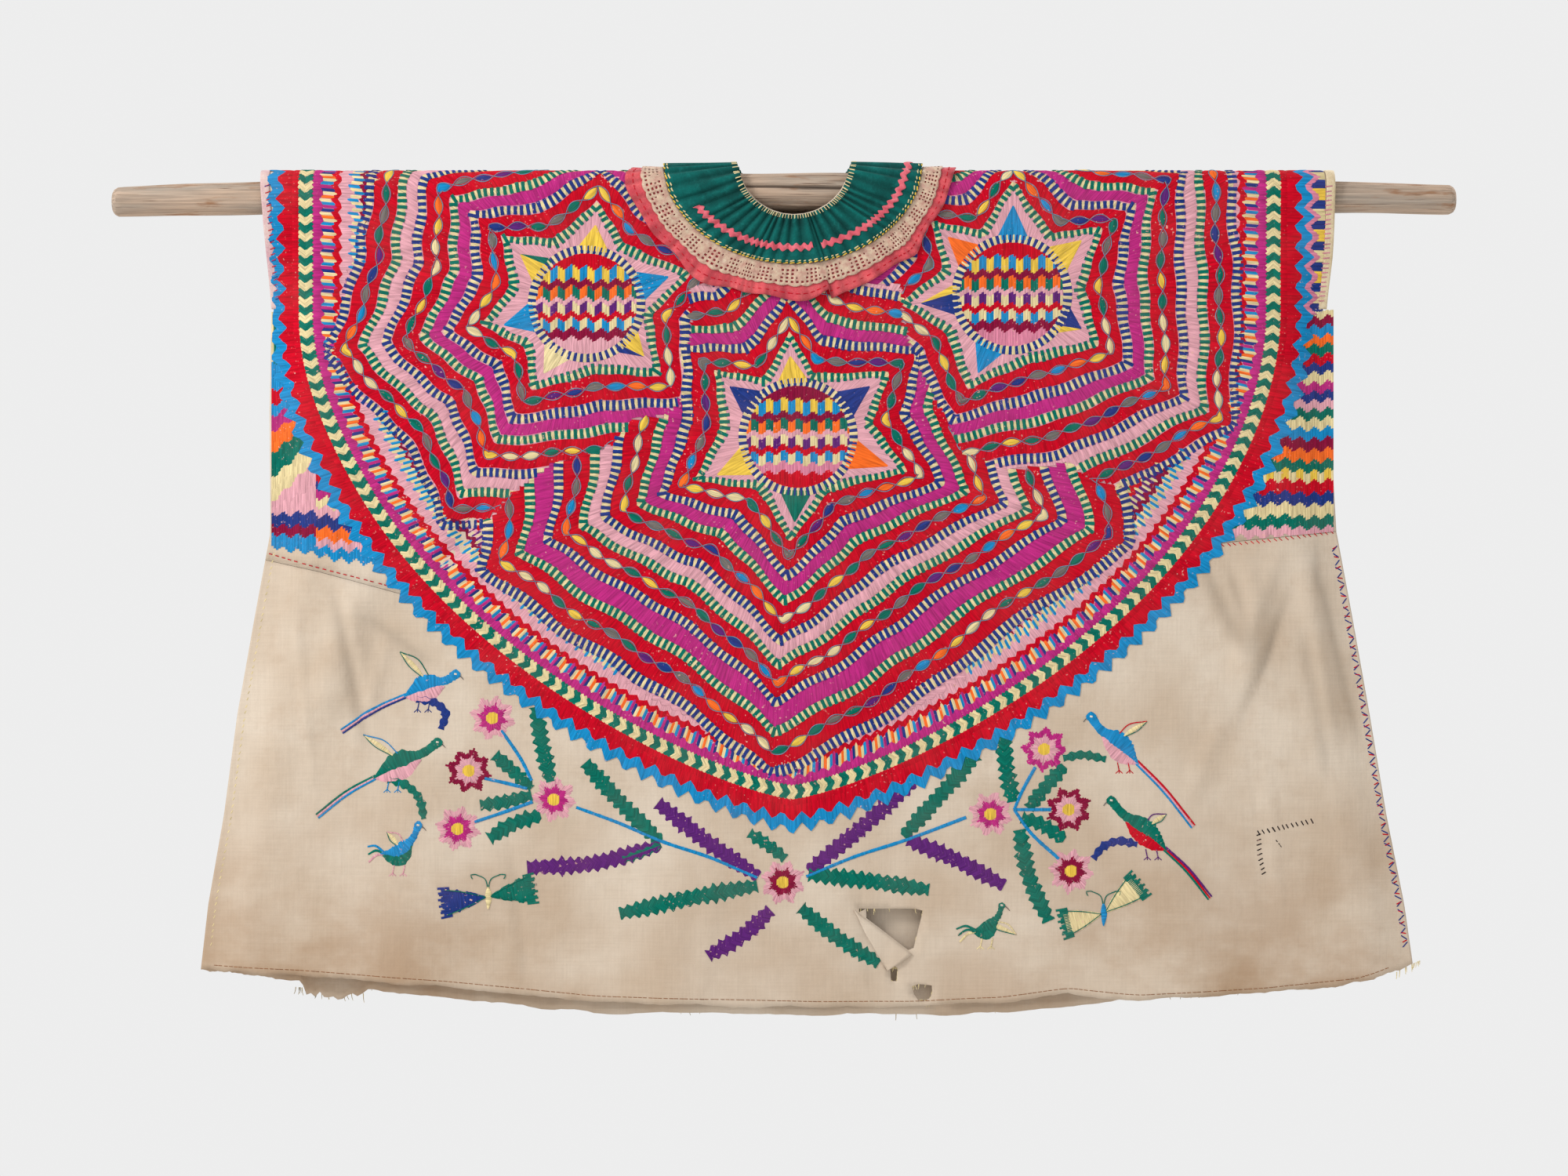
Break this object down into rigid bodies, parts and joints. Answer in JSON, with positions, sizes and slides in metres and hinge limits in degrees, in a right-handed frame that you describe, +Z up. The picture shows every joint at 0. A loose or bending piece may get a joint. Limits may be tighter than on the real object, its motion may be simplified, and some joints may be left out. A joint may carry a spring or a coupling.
{
  "type": "embroidered huipil blouse on a wooden pole",
  "caption": "Wide embroidered cotton huipil blouse with a gathered ruffled collar, hanging flat on a wooden pole through its armholes.",
  "frame": {"origin": "middle of the wooden pole that the blouse hangs on", "axes": "+X along the pole, -Y to the front of the blouse, +Z up"},
  "size_m": [1.205, 0.054, 0.7681],
  "materials": {
    "weathered_wood": "dry weathered grain",
    "embroidered_cotton": "dense wool and cotton satin stitch",
    "plain_cotton": "worn unbleached plain weave",
    "edge_binding": "turned edge with overcast stitches",
    "green_cotton": "smooth gathered plain weave",
    "coral_cotton": "soft plain weave",
    "cream_lace": "openwork lace",
    "rickrack_braid": "woven zigzag braid"
  },
  "bodies": {
    "root": {"pole": "weathered_wood", "front_shoulder": "embroidered_cotton", "back_shoulder": "embroidered_cotton", "front_skirt": "plain_cotton", "back_skirt": "plain_cotton", "armhole_binding_left": "edge_binding", "armhole_binding_right": "edge_binding", "collar_green": "green_cotton", "collar_ruffle_coral": "coral_cotton", "collar_lace": "cream_lace", "rickrack_right": "rickrack_braid", "rickrack_left": "rickrack_braid"}
  },
  "joints": []
}
